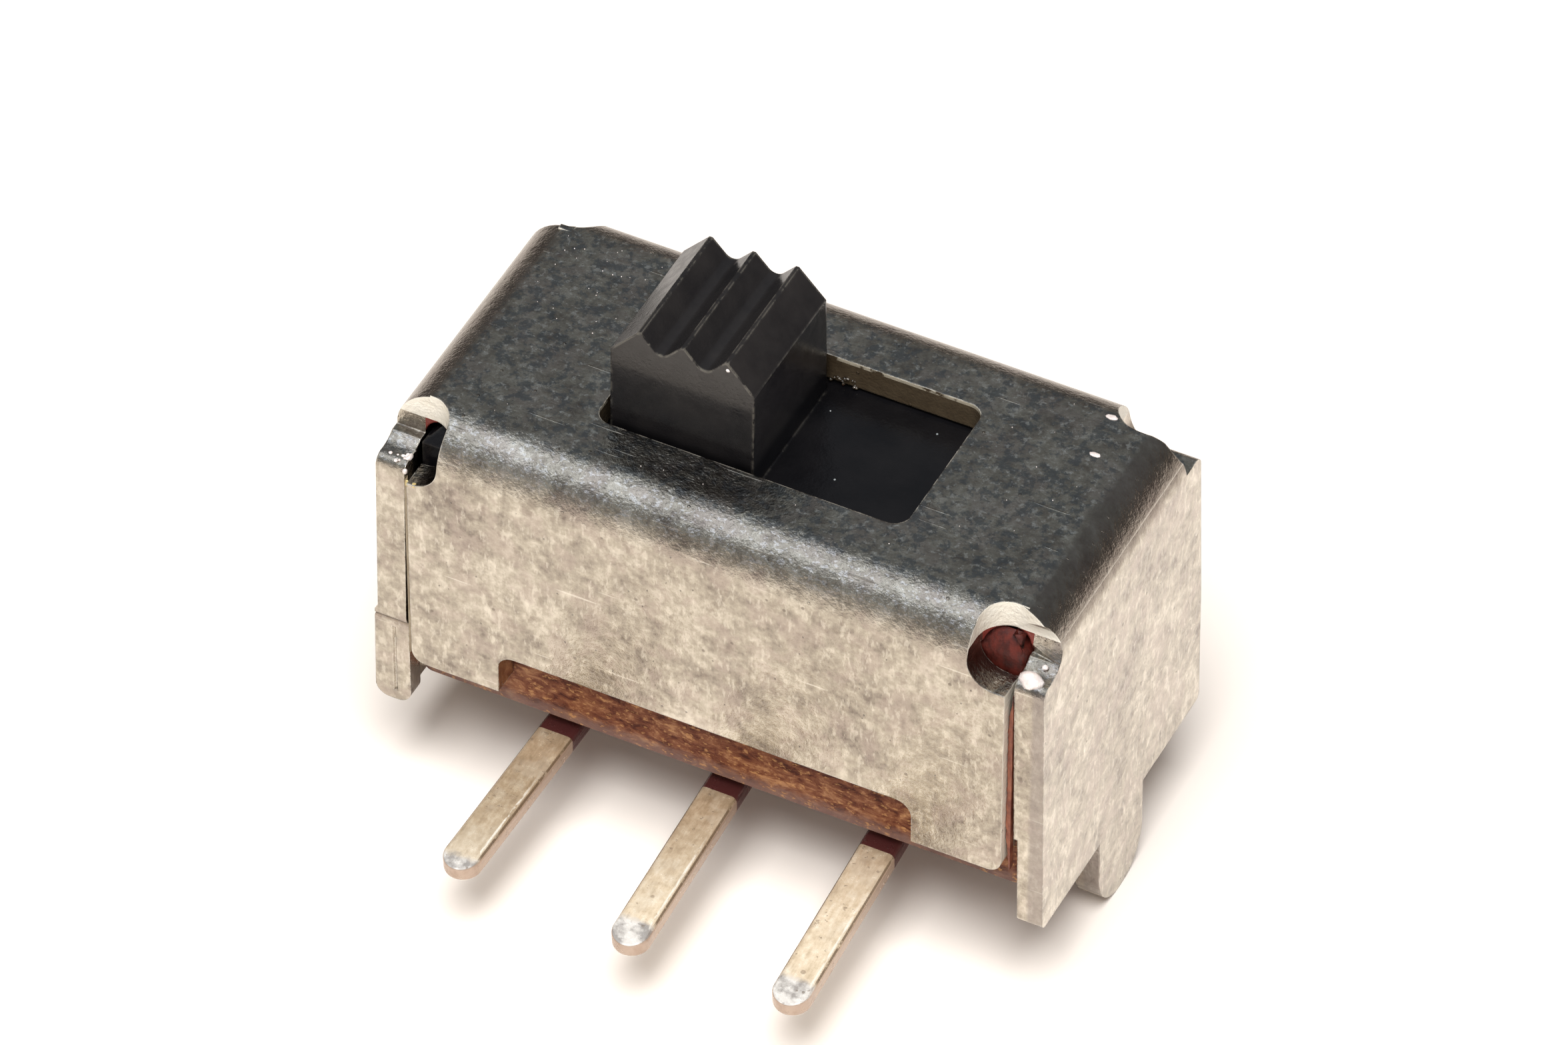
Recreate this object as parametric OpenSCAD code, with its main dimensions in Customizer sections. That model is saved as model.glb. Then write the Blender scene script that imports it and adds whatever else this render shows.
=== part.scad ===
// Miniature slide switch, one pole and two throws, with bent-forward terminals.
// A folded sheet-metal cover holds a phenolic terminal board. A moulded slider
// runs between the two and carries a spring clip that joins the middle terminal
// to one of its neighbours.
//
// Frame: the origin is the middle of the slot in the cover's top face. +Z is up,
// out of the top face, +X is along the slot, and the terminals point along -Y.
// Every part is drawn with the slider at the left end of its travel.

/* [Cover] */
// Length over the end walls, just below their folds
cover_l = 10.52; // [9.8:0.02:12]
// Depth over the long walls
cover_d = 5.45; // [5.2:0.05:6.5]
// Thickness of the sheet
sheet_t = 0.46; // [0.3:0.02:0.5]
// Inside radius of the four folds
fold_r = 0.31; // [0.2:0.01:0.4]
// Height of the long walls, from the top face down
long_wall_h = 4.63; // [4.4:0.01:4.9]
// Height of the end walls, from the top face down
end_wall_h = 5.61; // [5.5:0.01:6.2]
// How far the end walls lean outward, in degrees
wall_lean = 0.9; // [0:0.1:1.5]
// How far each long wall stops short of the end walls' outer faces
long_wall_gap = 0.55; // [0.5:0.01:0.7]
// How far each end wall stops short of the long walls' outer faces
end_wall_gap = 0.11; // [0.05:0.01:0.3]
// Radius of the relief hole at each corner
relief_r = 0.44; // [0.36:0.01:0.5]
// Distance of the relief holes' middles from the outer face of the end walls
relief_in_x = 0.63; // [0.6:0.01:0.8]
// Distance of the relief holes' middles from the outer face of the long walls
relief_in_y = 0.32; // [0.3:0.01:0.4]
// Depth of the relief holes in the long walls, below the top face
relief_long_h = 1.08; // [0.95:0.01:1.3]
// Depth of the relief holes in the end walls, below the top face
relief_end_h = 0.88; // [0.8:0.01:1]
// Slant of the relief holes' edges in the right end fold, in degrees
right_slant = 11; // [0:1:15]
// How far the right relief holes lie to the left of their place
relief_shift = 0.08; // [0:0.01:0.14]
// How far the left relief holes lie to the left of their place
left_relief_shift = 0.04; // [0:0.01:0.14]
// How far the rear left relief hole lies further back than the front ones
rear_out = 0.08; // [0:0.01:0.14]
// Radius of the rear right relief hole
rear_right_r = 0.5; // [0.44:0.01:0.54]
// How far that hole stops short in the end wall
rear_right_rise = 0.2; // [0.12:0.01:0.24]
// How far the end walls' rear edges slope forward towards the top
rear_taper = 0.1; // [0:0.01:0.14]
// Radius at the end walls' upper corners, beside the relief holes
end_corner_r = 0.16; // [0.05:0.01:0.18]
// Radius at the lower corners of the long walls
wall_corner_r = 0.22; // [0.1:0.02:0.4]
// Depth of the step inside the end walls that holds the board down
board_step = 0.06; // [0.04:0.01:0.1]
// How far the left end wall is pushed outward at that step
left_bulge = 0.05; // [0:0.01:0.08]
// How far the staked front edge of the left end wall is spread inward
left_stake = 0.1; // [0.07:0.01:0.12]
// Width of the grooves that the staking leaves in that edge
stake_groove = 0.05; // [0.02:0.01:0.08]
// Rounding at the lower corners of that edge
stake_r = 0.22; // [0.1:0.02:0.26]
// How far staking draws that edge down below the rest of the wall
stake_drop = 0.07; // [0.02:0.01:0.14]
// How far the end walls are peened in under the board
crimp = 0.12; // [0.05:0.01:0.2]

/* [Slot and notches] */
// Length of the slot in the top face
slot_l = 4.88; // [4.7:0.02:5.1]
// Width of the slot in the top face
slot_w = 2.68; // [2.5:0.02:3]
// Corner radius of the slot
slot_r = 0.26; // [0.1:0.02:0.5]
// Width of the notch in each long wall's lower edge
notch_w = 6.6; // [6:0.1:7]
// Height of that notch
notch_h = 0.74; // [0.5:0.02:0.9]
// Radius at the notch's upper corners
notch_r = 0.26; // [0.1:0.02:0.4]

/* [Fixing tabs] */
// Width of the tab on each end wall
tab_w = 1.44; // [1:0.02:2]
// How far the tabs stand out below the end walls
tab_l = 1.5; // [1.2:0.05:2.5]

/* [Terminal board] */
// Thickness of the phenolic board
board_t = 1.32; // [1.2:0.01:1.4]
// Clearance round the board inside the cover
board_fit = 0.04; // [0.02:0.01:0.08]
// Clearance of each terminal in its slot through the board
terminal_fit = 0.01; // [0.005:0.005:0.03]

/* [Terminals] */
// Distance from one terminal to the next
pitch = 2.5; // [2.4:0.02:2.6]
// Width of a terminal's leg
leg_w = 0.58; // [0.5:0.02:0.7]
// Thickness of the terminal strip
leg_t = 0.34; // [0.24:0.02:0.38]
// How far the legs reach beyond the front wall
leg_reach = 2.7; // [2:0.01:4]
// How much shorter the left leg is than the others
left_short = 0.22; // [0:0.02:0.5]
// How far the legs droop, in degrees
leg_droop = 3; // [0:0.5:6]
// How far the left leg is splayed outward, in degrees
left_splay = 2.8; // [-2:0.1:4]
// How far the middle leg points to the right, in degrees
middle_splay = 1; // [-2:0.1:2]
// How far the right leg is splayed outward, in degrees
right_splay = 1.6; // [-2:0.1:4]
// Inside radius of the bend under the board
leg_bend_r = 0.13; // [0.08:0.01:0.2]
// Rounding of the legs' long edges
leg_edge_r = 0.09; // [0.03:0.01:0.12]
// Length over which the legs' upper face falls away at the tip
tip_l = 0.42; // [0.3:0.02:0.6]
// How far the upper face falls there
tip_fall = 0.07; // [0.02:0.01:0.12]
// Width of the contact blade above the board
blade_w = 1.7; // [1.4:0.05:1.9]
// Height of the contact blade above the board
blade_h = 1.5; // [1.2:0.05:1.7]

/* [Slider] */
// Travel of the slider from one end to the other
travel = 2.25; // [2:0.05:2.4]
// Clearance at each end of the slider when it is against an end wall
end_play = 0.05; // [0.03:0.01:0.1]
// Clearance between the slider and the cover's long walls
slider_side_fit = 0.1; // [0.05:0.01:0.2]
// Clearance between the slider and the cover's top
slider_top_fit = 0.05; // [0.03:0.01:0.1]
// Clearance between the slider and the board
slider_board_fit = 0.1; // [0.05:0.01:0.2]
// Chamfer round the slider's top, which clears the folds
slider_chamfer = 0.25; // [0.2:0.01:0.4]

/* [Knob] */
// Width of the knob along the slot
knob_w = 2.26; // [2:0.02:2.35]
// Depth of the knob across the slot, at its foot
knob_d = 2.34; // [2:0.02:2.5]
// Draft of the knob's front and back faces, in degrees
knob_draft = 1.4; // [0:0.2:4]
// Height of the ridges above the cover's top face
knob_h = 1.73; // [1.4:0.01:2.2]
// Distance from one ridge to the next
ridge_pitch = 0.684; // [0.6:0.002:0.7]
// Width of the flat along a ridge's crest
ridge_flat = 0.05; // [0.02:0.01:0.08]
// Slope of the ridges' flanks and of the shoulders outside them, in degrees
flank_slope = 48; // [40:1:52]
// Radius at the floor of the valleys between the ridges
valley_r = 0.15; // [0.06:0.01:0.25]

/* [Contact clip] */
// Thickness of the clip's strip
clip_t = 0.15; // [0.1:0.01:0.18]
// Length of the clip along the slot
clip_l = 3.3; // [3:0.05:3.4]
// Half-width between the clip's leaves at its roof
clip_half_w = 0.5; // [0.42:0.02:0.6]
// Gap between a leaf's bulge and the blade that it wipes
clip_gap = 0.03; // [0.02:0.01:0.05]
// Height of the bulges above the board
bulge_h = 0.85; // [0.7:0.05:1]
// Clearance of the clip in the slider's pocket
clip_fit = 0.05; // [0.03:0.01:0.1]
// Width of the slit between the two fingers of a leaf
finger_slit = 0.4; // [0.3:0.05:0.6]
// Thickness of the slider above the clip's pocket
pocket_roof_t = 0.75; // [0.6:0.05:0.9]

/* [Hidden] */

$fn = 48;
eps = 0.01;       // overlap where two shapes of one piece are joined
cut = 1;          // how far a cutting shape runs past what it cuts

// The cover's folds and the room inside it
bend_r = fold_r + sheet_t;
room_l = cover_l - 2 * sheet_t;
room_d = cover_d - 2 * sheet_t;
long_wall_w = cover_l - 2 * long_wall_gap;
end_wall_w = cover_d - 2 * end_wall_gap;
relief_x = cover_l / 2 - relief_in_x;
relief_y = cover_d / 2 - relief_in_y;

// The board lies under the step in the end walls, just below the notches' upper edge
step_run = 0.1;
stake_l = 0.3;
stake_slope = 0.14;
notch_drop = 0.07;
board_top = -(long_wall_h - notch_h) - notch_drop;
board_bottom = board_top - board_t;
board_l = room_l + 2 * (lean_at(board_top) + board_step - board_fit);
board_d = room_d - 2 * board_fit;
crimp_z = board_bottom - board_fit;

// The slider fills the room between the cover's top and the board
slider_top = -sheet_t - slider_top_fit;
slider_bottom = board_top + slider_board_fit;
slider_l = room_l - travel - 2 * end_play;
slider_d = room_d - 2 * slider_side_fit;
slider_x = -travel / 2;
blade_top = board_top + blade_h;
groove_fit = 0.15;
groove_w = leg_t + 2 * groove_fit;
pocket_top = slider_top - pocket_roof_t;

// The legs: where they leave the board, and how long they run
leg_turn = 90 - leg_droop;
leg_axis_y = -leg_t / 2 - leg_bend_r;
leg_bend_mid = leg_bend_r + leg_t / 2;
leg_start_y = leg_axis_y + leg_bend_mid * sin(leg_droop);
leg_start_z = -leg_bend_mid * cos(leg_droop);
splays = [-left_splay, middle_splay, right_splay];

// How far an end wall has leaned outward at height z
function lean_at(z) = (-z - bend_r) * tan(wall_lean);

// ---- Shapes that several parts share ----

// A rectangle round the origin with all four corners rounded
module round_rect(size, r) {
    union() {
        square([size[0] - 2 * r, size[1]], center = true);
        square([size[0], size[1] - 2 * r], center = true);
        for (x = [-1, 1], y = [-1, 1])
            translate([x * (size[0] / 2 - r), y * (size[1] / 2 - r)]) circle(r);
    }
}

// A rectangle that hangs from the X axis, with its two lower corners rounded
module hanging_rect(w, h, r) {
    union() {
        translate([-w / 2, -(h - r)]) square([w, h - r]);
        translate([-w / 2 + r, -h]) square([w - 2 * r, h - r]);
        for (x = [-1, 1]) translate([x * (w / 2 - r), -(h - r)]) circle(r);
    }
}

// Points along an arc, from one angle to another
function arc(cx, cy, r, a0, a1, n = 8) =
    [for (i = [0:n]) let (a = a0 + (a1 - a0) * i / n) [cx + r * cos(a), cy + r * sin(a)]];

// Stands a drawing made in X and Y up in X and Z, as a plate that is centred on Y
module upright(thickness) {
    rotate([90, 0, 0]) linear_extrude(thickness, center = true) children();
}

// The same, for a drawing that stands in Y and Z and runs along X
module lengthwise(length) {
    rotate([90, 0, 90]) linear_extrude(length, center = true) children();
}

// ---- Cover ----

// Section of a fold: a quarter ring that ends at the given half-span
module fold(half_span) {
    translate([half_span - bend_r, -bend_r]) intersection() {
        difference() {
            circle(bend_r);
            circle(fold_r);
        }
        square([bend_r, bend_r]);
    }
}

// The top with its two long folds. The folds run on to the long walls' edges.
module cover_top() {
    translate([0, 0, -sheet_t / 2])
        cube([cover_l - 2 * bend_r, cover_d - 2 * bend_r, sheet_t], center = true);
    for (side = [0, 1]) mirror([0, side, 0])
        lengthwise(long_wall_w) fold(cover_d / 2);
}

// The two end folds, as wide as the end walls
module end_folds() {
    for (side = [0, 1]) mirror([side, 0, 0])
        upright(end_wall_w) fold(cover_l / 2);
}

// A long wall, with rounded lower corners and the notch that shows the board
module long_wall() {
    translate([0, -cover_d / 2 + sheet_t / 2, 0]) upright(sheet_t)
        difference() {
            hanging_rect(long_wall_w, long_wall_h, wall_corner_r);
            translate([-cover_l / 2, -bend_r]) square([cover_l, bend_r + cut]);
            translate([0, -long_wall_h]) mirror([0, 1])
                hanging_rect(notch_w, notch_h, notch_r);
            translate([-notch_w / 2, -long_wall_h - cut]) square([notch_w, cut + eps]);
        }
}

// Section of an end wall's sheet: it leans outward and steps out inside at the
// board, and the left one bulges outside too
module end_wall_section(bottom, bulge) {
    x_in = room_l / 2;
    x_out = cover_l / 2;
    z_step = board_top + step_run;
    polygon([
        [x_in, -bend_r], [x_out, -bend_r],
        [x_out + lean_at(z_step), z_step],
        [x_out + lean_at(board_top) + bulge, board_top],
        [x_out + lean_at(bottom) + bulge, bottom],
        [x_in + lean_at(bottom) + board_step, bottom],
        [x_in + lean_at(board_top) + board_step, board_top],
        [x_in + lean_at(board_top), board_top]
    ]);
}

// The lower edge of an end wall beside its tab, peened in under the board
module crimp_section() {
    x_in = room_l / 2 + lean_at(crimp_z) + board_step;
    polygon([
        [x_in + board_step, crimp_z], [x_in, crimp_z], [x_in - crimp, crimp_z - crimp / 2],
        [x_in - crimp, -end_wall_h], [x_in + board_step, -end_wall_h]
    ]);
}

// Outline of an end wall and its round-ended tab, in Y and Z
module end_wall_outline() {
    union() {
        hanging_rect(end_wall_w, end_wall_h, wall_corner_r / 2);
        translate([-tab_w / 2, -end_wall_h - tab_l + tab_w / 2]) square([tab_w, tab_l]);
        translate([0, -end_wall_h - tab_l + tab_w / 2]) circle(tab_w / 2);
    }
}

module end_wall(bulge) {
    crimp_w = (end_wall_w - tab_w) / 4;
    intersection() {
        upright(cover_d) end_wall_section(-end_wall_h - tab_l, bulge);
        lengthwise(2 * cover_l) end_wall_outline();
    }
    for (side = [-1, 1])
        translate([0, side * (tab_w / 2 + wall_corner_r + crimp_w / 2), 0])
            upright(crimp_w) crimp_section();
}

// The lower front edge of the left end wall, spread inward by staking
module left_stake_lip() {
    x_in = -room_l / 2 - lean_at(board_top);
    x_lip = x_in + left_stake - board_step;
    x_out = -cover_l / 2 - lean_at(-end_wall_h) - left_bulge + 2 * eps;
    z = -end_wall_h - stake_drop;
    translate([0, -end_wall_w / 2 + stake_l / 2, 0]) upright(stake_l)
        polygon(concat(
            [[x_in - 2 * board_step, board_top], [x_in, board_top],
             [x_lip, board_top - stake_slope]],
            arc(x_lip - stake_r, z + stake_r, stake_r, 0, -90),
            [[x_out, z], [x_out, z + 2 * stake_r], [x_in - 2 * board_step, z + 3 * stake_r]]
        ));
}

// Does its children in the corners at the given ends: 0 is the right end, 1 the left
module corners(ends = [0, 1]) {
    for (mx = ends, my = [0, 1]) {
        $rear_right = mx == 0 && my == 0;
        out = mx == 1 && my == 0 ? rear_out : 0;
        mirror([mx, 0, 0]) mirror([0, my, 0])
            translate([mx == 1 ? left_relief_shift : -relief_shift, out, 0]) children();
    }
}

function hole_r() = $rear_right ? rear_right_r : relief_r;

function hole_end_h() = relief_end_h - ($rear_right ? rear_right_rise : 0);

// A relief hole where it goes down through the top and its folds
module relief_through_top(depth, slant) {
    r = hole_r();
    rise = cut * tan(slant);
    translate([relief_x, relief_y, -depth]) linear_extrude(depth + cut) union() {
        circle(r);
        translate([-r, 0]) square([2 * cut, cut]);
        polygon([[0, cut], [0, -r], [cut, rise - r], [cut, cut]]);
    }
}

// The round lower end of a relief hole in a long wall
module relief_in_long_wall() {
    r = hole_r();
    translate([relief_x, cover_d / 2 - bend_r, r - relief_long_h])
        rotate([-90, 0, 0]) linear_extrude(bend_r + cut) union() {
            intersection() {
                circle(r);
                translate([-r, -eps]) square([2 * r, r + cut]);
            }
            translate([0, -eps]) square([2 * cut, r + eps]);
        }
}

// The round lower end of a relief hole in an end wall, with the wall's corner beside it
module relief_in_end_wall() {
    translate([cover_l / 2 - bend_r, relief_y, relief_r - hole_end_h()])
        rotate([0, 90, 0]) linear_extrude(bend_r + cut) union() {
            circle(relief_r);
            square([relief_r, 2 * cut]);
        }
}

// Takes the sharp upper corners off the end walls and slopes their rear edges
module end_wall_corners() {
    for (mx = [0, 1], my = [0, 1]) {
        taper = my == 0 ? rear_taper : 0;
        rise = mx == 0 && my == 0 ? rear_right_rise : 0;
        w = end_wall_w / 2 - taper;
        mirror([mx, 0, 0]) mirror([0, my, 0])
            translate([cover_l / 2 - bend_r, 0, rise - relief_end_h])
                rotate([0, 90, 0]) linear_extrude(bend_r + cut) {
                    difference() {
                        translate([-cut / 2, w - end_corner_r])
                            square([cut / 2 + end_corner_r, cut]);
                        translate([end_corner_r, w - end_corner_r]) circle(end_corner_r);
                    }
                    if (taper > 0)
                        polygon([[end_corner_r - eps, w], [end_wall_h / 2, w + taper],
                                 [end_wall_h / 2, w + cut], [end_corner_r - eps, w + cut]]);
                }
    }
}

// The two grooves and the round lower corner that staking leaves at the front edge
// of the left end wall
module stake_marks() {
    y = -end_wall_w / 2;
    x = -cover_l / 2 - lean_at(board_bottom) + sheet_t * 0.6;
    x_out = -cover_l / 2 - lean_at(-end_wall_h) - left_bulge;
    z = board_top - stake_slope;
    translate([x, y, (z - end_wall_h) / 2]) rotate([0, 0, 45])
        cube([stake_groove, stake_groove, end_wall_h + z - 2 * stake_l / 3], center = true);
    translate([-cover_l / 2, y, board_top - 2 * stake_groove]) rotate([45, 0, 0])
        cube([cover_l / 5, stake_groove, stake_groove], center = true);
    translate([x_out + stake_r, y, stake_r - stake_drop - end_wall_h]) upright(2 * stake_l)
        difference() {
            translate([-cut, -cut]) square([cut, cut]);
            circle(stake_r);
        }
}

module cover() {
    color([0.80, 0.77, 0.70])
        difference() {
            union() {
                difference() {
                    union() {
                        cover_top();
                        for (side = [0, 1]) mirror([0, side, 0]) long_wall();
                    }
                    corners() relief_through_top(relief_long_h - hole_r(), 0);
                    corners() relief_in_long_wall();
                }
                difference() {
                    union() {
                        end_folds();
                        end_wall(0);
                        mirror([1, 0, 0]) end_wall(left_bulge);
                        left_stake_lip();
                    }
                    corners([0]) relief_through_top(min(bend_r, hole_end_h()), right_slant);
                    corners([1]) relief_through_top(bend_r, 0);
                    corners() relief_in_end_wall();
                    end_wall_corners();
                    stake_marks();
                }
            }
            translate([0, 0, -bend_r]) linear_extrude(bend_r + cut) round_rect([slot_l, slot_w], slot_r);
        }
}

// ---- Terminal board ----

module terminal_board() {
    color([0.45, 0.24, 0.13])
        difference() {
            translate([0, 0, board_bottom]) linear_extrude(board_t)
                round_rect([board_l, board_d], wall_corner_r);
            for (i = [-1:1])
                translate([i * pitch, 0, board_bottom - cut]) rotate([0, 0, splays[i + 1]])
                    linear_extrude(board_t + 2 * cut)
                        square([leg_w + 2 * terminal_fit, leg_t + 2 * terminal_fit], center = true);
        }
}

// ---- Terminals ----

// Outline of the blade that stands on the board, with its upper corners cut off
module blade_outline() {
    chamfer = blade_h / 6;
    polygon([
        [-blade_w / 2, 0], [blade_w / 2, 0], [blade_w / 2, blade_h - chamfer],
        [blade_w / 2 - chamfer, blade_h], [chamfer - blade_w / 2, blade_h],
        [-blade_w / 2, blade_h - chamfer]
    ]);
}

// Section of a leg, wide along X and thin along Y
module leg_section() {
    round_rect([leg_w, leg_t], leg_edge_r);
}

// A straight leg along -Y from the origin, with a round tip whose upper face falls away
module straight_leg(length) {
    difference() {
        union() {
            rotate([90, 0, 0]) linear_extrude(length - leg_w / 2) leg_section();
            translate([0, -(length - leg_w / 2), 0]) rotate_extrude()
                intersection() {
                    leg_section();
                    translate([0, -leg_w]) square([leg_w, 2 * leg_w]);
                }
        }
        translate([0, -length, 0]) lengthwise(2 * leg_w)
            polygon([[-tip_l, leg_t / 2 - 2 * tip_fall], [tip_l, leg_t / 2],
                     [tip_l, leg_t], [-tip_l, leg_t]]);
    }
}

// The bend under the board, from straight down to nearly forward
module leg_bend() {
    translate([0, leg_axis_y, 0]) rotate([-90, 0, 90])
        rotate_extrude(angle = leg_turn)
            translate([leg_bend_mid, 0]) rotate([0, 0, 90]) leg_section();
}

// One terminal: the blade stands on the board, and the shank, bend and leg under
// it are turned together by the leg's splay
module terminal(i, reach) {
    leg_l = (leg_start_y + cover_d / 2 + reach) / cos(leg_droop);
    translate([i * pitch, 0, 0]) color([0.78, 0.70, 0.58])
        union() {
            translate([0, 0, board_top]) upright(leg_t) blade_outline();
            translate([0, 0, board_bottom]) rotate([0, 0, splays[i + 1]]) {
                linear_extrude(board_t) leg_section();
                leg_bend();
                translate([0, leg_start_y, leg_start_z]) rotate([leg_droop, 0, 0])
                    straight_leg(leg_l);
            }
        }
}

module terminal_left() { terminal(-1, leg_reach - left_short); }
module terminal_middle() { terminal(0, leg_reach); }
module terminal_right() { terminal(1, leg_reach); }

// ---- Contact clip ----

// Middle line of one leaf, from the roof down to its flared foot
function leaf_line() =
    let (z0 = pocket_top - clip_fit - clip_t / 2,
         zb = board_top + bulge_h,
         zf = slider_bottom + clip_t,
         ro = clip_half_w / 4,
         yb = leg_t / 2 + clip_gap + clip_t / 2)
    concat(
        [[0, z0]],
        arc(clip_half_w - ro, z0 - ro, ro, 90, 0),
        [[clip_half_w, zb + bulge_h / 2]],
        [[yb + clip_t / 2, zb + clip_t]],
        arc(yb + clip_t, zb, clip_t, 150, 210),
        [[yb + clip_t * 1.6, zf]]
    );

// Direction of a line of points at point i
function heading(p, i) =
    let (a = p[max(i - 1, 0)], b = p[min(i + 1, len(p) - 1)]) (b - a) / norm(b - a);

// A strip of even thickness along a line of points
module strip_section(p, t) {
    left = [for (i = [0:len(p) - 1]) p[i] + t / 2 * [-heading(p, i)[1], heading(p, i)[0]]];
    right = [for (i = [len(p) - 1:-1:0]) p[i] - t / 2 * [-heading(p, i)[1], heading(p, i)[0]]];
    polygon(concat(left, right));
}

module contact_clip() {
    roof_z = pocket_top - clip_fit - clip_t;
    translate([slider_x, 0, 0]) color([0.80, 0.60, 0.35])
        difference() {
            union() for (side = [0, 1]) mirror([0, side, 0])
                lengthwise(clip_l) strip_section(leaf_line(), clip_t);
            translate([-finger_slit / 2, -slider_d / 2, slider_bottom - cut])
                cube([finger_slit, slider_d, roof_z - clip_half_w / 2 - slider_bottom + cut]);
        }
}

// ---- Slider ----

// Profile of the knob's top, from one side to the other: three ridges, two
// valleys with round floors, and a sloping shoulder at each side
function valley(cx) =
    let (half_gap = (ridge_pitch - ridge_flat) / 2,
         z = knob_h - half_gap * tan(flank_slope) + valley_r / cos(flank_slope))
    arc(cx, z, valley_r, 270 - flank_slope, 270 + flank_slope);

function knob_profile() =
    let (p = ridge_pitch, f = ridge_flat / 2, w = knob_w / 2,
         shoulder_z = knob_h - (w - p - f) * tan(flank_slope))
    concat(
        [[-w, slider_top - eps], [-w, shoulder_z], [-p - f, knob_h], [-p + f, knob_h]],
        valley(-p / 2),
        [[-f, knob_h], [f, knob_h]],
        valley(p / 2),
        [[p - f, knob_h], [p + f, knob_h], [w, shoulder_z], [w, slider_top - eps]]
    );

module knob() {
    lean = (knob_h - slider_top) * tan(knob_draft);
    intersection() {
        upright(knob_d) polygon(knob_profile());
        lengthwise(knob_w)
            polygon([
                [-knob_d / 2, slider_top - eps], [knob_d / 2, slider_top - eps],
                [knob_d / 2 - lean, knob_h], [lean - knob_d / 2, knob_h]
            ]);
    }
}

// Outline of the block from the end: a rectangle with its top corners cut off
module block_section(width) {
    c = slider_chamfer;
    polygon([
        [-width / 2, slider_bottom], [width / 2, slider_bottom],
        [width / 2, slider_top - c], [width / 2 - c, slider_top],
        [c - width / 2, slider_top], [-width / 2, slider_top - c]
    ]);
}

module slider() {
    pocket_l = clip_l + 2 * clip_fit;
    pocket_w = 2 * clip_half_w + clip_t + 2 * clip_fit;
    translate([slider_x, 0, 0]) color([0.10, 0.10, 0.10])
        difference() {
            union() {
                intersection() {
                    lengthwise(slider_l) block_section(slider_d);
                    upright(slider_d) block_section(slider_l);
                }
                knob();
            }
            // Pocket for the clip, and the narrower groove in which the blades pass
            translate([-pocket_l / 2, -pocket_w / 2, slider_bottom - cut])
                cube([pocket_l, pocket_w, pocket_top - slider_bottom + cut]);
            translate([-slider_l, -groove_w / 2, slider_bottom - cut])
                cube([2 * slider_l, groove_w, blade_top + groove_fit - slider_bottom + cut]);
        }
}

cover();
terminal_board();
terminal_left();
terminal_middle();
terminal_right();
contact_clip();
slider();
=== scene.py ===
"""Looks of a miniature slide switch: tin plate cover, brown board, flat pins and a black ridged knob.

Lengths are millimetres until mm() turns them into Blender's metres, unless a comment says otherwise.
"""

import math
import random

import bpy
import bmesh
from mathutils import Matrix, Vector


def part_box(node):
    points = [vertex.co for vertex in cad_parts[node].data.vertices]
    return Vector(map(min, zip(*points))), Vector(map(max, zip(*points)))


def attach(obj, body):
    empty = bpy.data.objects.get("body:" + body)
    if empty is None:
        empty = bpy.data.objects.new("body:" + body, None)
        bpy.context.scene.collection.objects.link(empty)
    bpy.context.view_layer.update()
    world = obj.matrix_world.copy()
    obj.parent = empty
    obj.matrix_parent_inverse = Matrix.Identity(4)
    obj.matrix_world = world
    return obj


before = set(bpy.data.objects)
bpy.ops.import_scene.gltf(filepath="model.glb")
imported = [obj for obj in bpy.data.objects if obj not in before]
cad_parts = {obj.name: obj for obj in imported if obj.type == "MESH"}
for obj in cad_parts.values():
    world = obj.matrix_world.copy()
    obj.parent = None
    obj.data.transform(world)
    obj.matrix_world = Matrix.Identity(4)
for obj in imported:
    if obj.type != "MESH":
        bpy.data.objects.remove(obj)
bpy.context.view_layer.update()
scene = bpy.context.scene

MM = 0.001


def mm(*lengths):
    return tuple(v * MM for v in lengths)


# ---- Camera and light ----

CAMERA_AT = (48.032, -96.135, 103.340)
CAMERA_AZIMUTH = 26.59
CAMERA_ELEVATION = 44.469
CAMERA_ROLL = 0.184
LENS, SENSOR = 242.36, 36.0
CLIP_START, CLIP_END = 0.005, 20      # metres


def make_camera():
    a, e, roll = (math.radians(v) for v in (CAMERA_AZIMUTH, CAMERA_ELEVATION, CAMERA_ROLL))
    back = Vector((math.sin(a) * math.cos(e), -math.cos(a) * math.cos(e), math.sin(e)))
    right = Vector((math.cos(a), math.sin(a), 0))
    up = back.cross(right)
    rolled_right = math.cos(roll) * right + math.sin(roll) * up
    rolled_up = back.cross(rolled_right)
    turn = Matrix((rolled_right, rolled_up, back)).transposed().to_4x4()
    data = bpy.data.cameras.new("camera")
    data.lens, data.sensor_width = LENS, SENSOR
    data.clip_start, data.clip_end = CLIP_START, CLIP_END
    camera = bpy.data.objects.new("camera", data)
    scene.collection.objects.link(camera)
    camera.matrix_world = Matrix.Translation(mm(*CAMERA_AT)) @ turn
    scene.camera = camera


# Lamps: degrees that each leans to the front and to the right, degrees that it spans, strength, colour
KEY = (18, 7, 40, 4.35, (1.0, 0.985, 0.965))
FRONT = (60, 15, 50, 0.70, (1.0, 0.98, 0.95))
GLINT = (24, 20, 3, 0.30, (1, 1, 1))

# What shiny surfaces mirror: a soft window in a room
TO_WINDOW = (-0.32, -0.25, 0.91)
WINDOW_HALF, WINDOW_SOFT = 11, 20      # degrees
WINDOW_GLOW = (1.24, 1.34, 1.48)
ROOM_DARK = (0.208, 0.230, 0.252)
HORIZON_FRONT = (0.475, 0.452, 0.43)
HORIZON_BACK = (0.15, 0.135, 0.125)
FILL = (0.079, 0.054, 0.037)      # what dull surfaces receive from the room


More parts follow.
